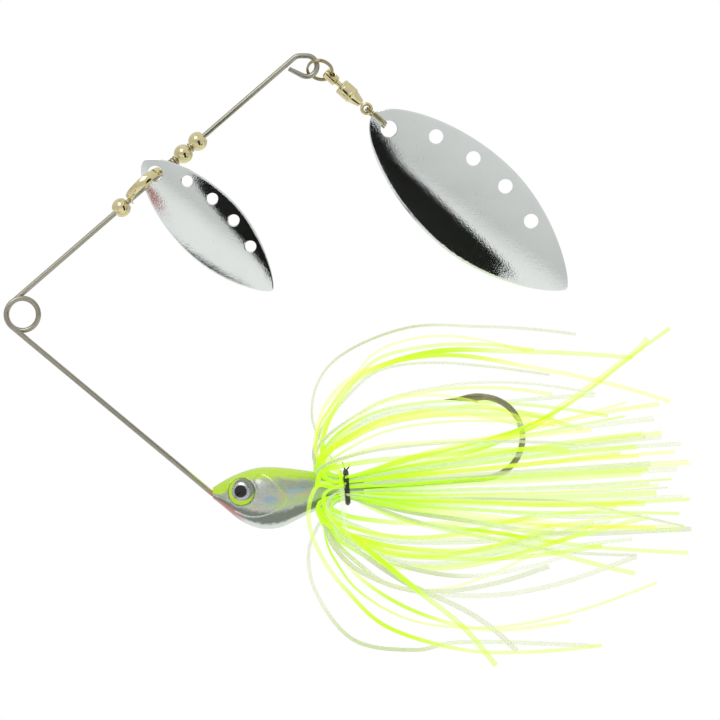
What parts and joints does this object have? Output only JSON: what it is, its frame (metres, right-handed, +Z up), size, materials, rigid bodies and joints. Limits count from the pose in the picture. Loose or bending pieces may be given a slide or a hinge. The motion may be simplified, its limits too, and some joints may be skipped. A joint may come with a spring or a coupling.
{
  "type": "spinnerbait",
  "caption": "Tandem spinnerbait fishing lure: bent wire frame with lead head, hook, silicone skirt and two spinning willow-leaf blades.",
  "frame": {"origin": "middle of the line-tie coil, on the axis of its turns", "axes": "+X to the rear, away from the line tie towards the skirt ends; +Z up, with the blades over the hook, as the lure swims; +Y to its left, across the plane of the wire"},
  "size_m": [0.1306, 0.0396, 0.1143],
  "materials": {
    "stainless_wire": "bare stainless spring wire",
    "head_paint": "gloss paint on cast lead, chartreuse back fading to a holographic silver flank and pale belly",
    "hook_bronze": "bronzed carbon steel",
    "eye": "clear dome over a silver iris with a black pupil",
    "thread": "black waxed thread",
    "brass": "polished brass",
    "nickel_blade": "bright nickel plate on brass, faint orange peel",
    "bearing_steel": "polished steel balls",
    "silicone_chartreuse": "translucent chartreuse silicone strands with fine dark flecks",
    "silicone_pearl": "translucent pearl white silicone strands with a soft sheen"
  },
  "bodies": {
    "frame": {"wire_frame": "stainless_wire", "head": "head_paint", "hook": "hook_bronze", "eye_left": "eye", "eye_right": "eye", "thread_wrap": "thread", "lower_crimp": "brass", "upper_crimp": "brass", "skirt_strands_01": "silicone_pearl", "skirt_strands_02": "silicone_chartreuse", "skirt_strands_03": "silicone_pearl", "skirt_strands_04": "silicone_chartreuse", "skirt_strands_05": "silicone_pearl", "skirt_strands_06": "silicone_chartreuse", "skirt_strands_07": "silicone_pearl", "skirt_strands_08": "silicone_chartreuse", "skirt_strands_09": "silicone_pearl", "skirt_strands_10": "silicone_chartreuse", "skirt_strands_11": "silicone_pearl", "skirt_strands_12": "silicone_chartreuse", "skirt_strands_13": "silicone_pearl", "skirt_strands_14": "silicone_chartreuse", "skirt_strands_15": "silicone_pearl", "skirt_strands_16": "silicone_chartreuse", "skirt_strands_17": "silicone_pearl", "skirt_strands_18": "silicone_chartreuse", "skirt_strands_19": "silicone_pearl", "skirt_strands_20": "silicone_chartreuse", "skirt_strands_21": "silicone_pearl", "skirt_strands_22": "silicone_chartreuse", "skirt_strands_23": "silicone_pearl", "skirt_strands_24": "silicone_chartreuse"},
    "lower_bead": {"lower_bead": "brass"},
    "clevis": {"clevis": "brass"},
    "small_blade": {"small_blade": "nickel_blade"},
    "upper_bead_a": {"upper_bead_a": "brass"},
    "upper_bead_b": {"upper_bead_b": "brass"},
    "wire_ring": {"wire_ring": "brass"},
    "swivel_upper_eye": {"swivel_upper_eye": "brass"},
    "swivel_barrel": {"swivel_barrel": "brass"},
    "bearing": {"bearing_ball_1": "bearing_steel", "bearing_ball_2": "bearing_steel", "bearing_ball_3": "bearing_steel", "bearing_ball_4": "bearing_steel", "bearing_ball_5": "bearing_steel", "bearing_ball_6": "bearing_steel"},
    "swivel_lower_eye": {"swivel_lower_eye": "brass"},
    "blade_ring": {"blade_ring": "brass"},
    "large_blade": {"large_blade": "nickel_blade"}
  },
  "joints": [
    {"name": "lower_bead_slide", "type": "slide", "parent": "frame", "child": "lower_bead", "axis": [0.7558, -0.0102, 0.6547], "range_m": [-0.023, 0.0017]},
    {"name": "clevis_spin", "type": "hinge", "parent": "lower_bead", "child": "clevis", "pos_m": [0.02334, 0.00037, 0.02422], "axis": [0.7558, -0.0102, 0.6547], "continuous": true},
    {"name": "small_blade_swing", "type": "hinge", "parent": "clevis", "child": "small_blade", "pos_m": [0.02515, -0.00265, 0.02655], "axis": [0, -1, 0], "range_deg": [-20, 50]},
    {"name": "upper_bead_a_spin", "type": "hinge", "parent": "frame", "child": "upper_bead_a", "pos_m": [0.03035, 0.00028, 0.0303], "axis": [0.7558, -0.0102, 0.6547], "continuous": true},
    {"name": "upper_bead_b_spin", "type": "hinge", "parent": "frame", "child": "upper_bead_b", "pos_m": [0.03308, 0.00024, 0.03266], "axis": [0.7558, -0.0102, 0.6547], "continuous": true},
    {"name": "wire_ring_swing", "type": "hinge", "parent": "frame", "child": "wire_ring", "pos_m": [0.05363, 0, 0.04684], "axis": [0, -1, 0], "range_deg": [-5, 60]},
    {"name": "swivel_swing", "type": "hinge", "parent": "wire_ring", "child": "swivel_upper_eye", "pos_m": [0.05814, 0.00053, 0.04492], "axis": [0.5096, -0.6446, 0.57], "range_deg": [-60, 60]},
    {"name": "swivel_barrel_spin", "type": "hinge", "parent": "swivel_upper_eye", "child": "swivel_barrel", "pos_m": [0.06008, 0.00053, 0.04318], "axis": [0.7455, 0, -0.6665], "continuous": true},
    {"name": "bearing_roll", "type": "hinge", "parent": "swivel_barrel", "child": "bearing", "pos_m": [0.06206, 0.00053, 0.04141], "axis": [0.7455, 0, -0.6665], "continuous": true},
    {"name": "lower_eye_spin", "type": "hinge", "parent": "swivel_barrel", "child": "swivel_lower_eye", "pos_m": [0.06384, 0.00053, 0.03982], "axis": [0.7455, 0, -0.6665], "continuous": true},
    {"name": "blade_ring_swing", "type": "hinge", "parent": "swivel_lower_eye", "child": "blade_ring", "pos_m": [0.06494, 0.00053, 0.03884], "axis": [0.6665, 0, 0.7455], "range_deg": [-40, 40]},
    {"name": "large_blade_swing", "type": "hinge", "parent": "blade_ring", "child": "large_blade", "pos_m": [0.06847, 0.00053, 0.03565], "axis": [0, -1, 0], "range_deg": [-5, 60]}
  ],
  "couplings": [
    {"joint": "bearing_roll", "follows": "lower_eye_spin", "ratio": 0.5}
  ]
}
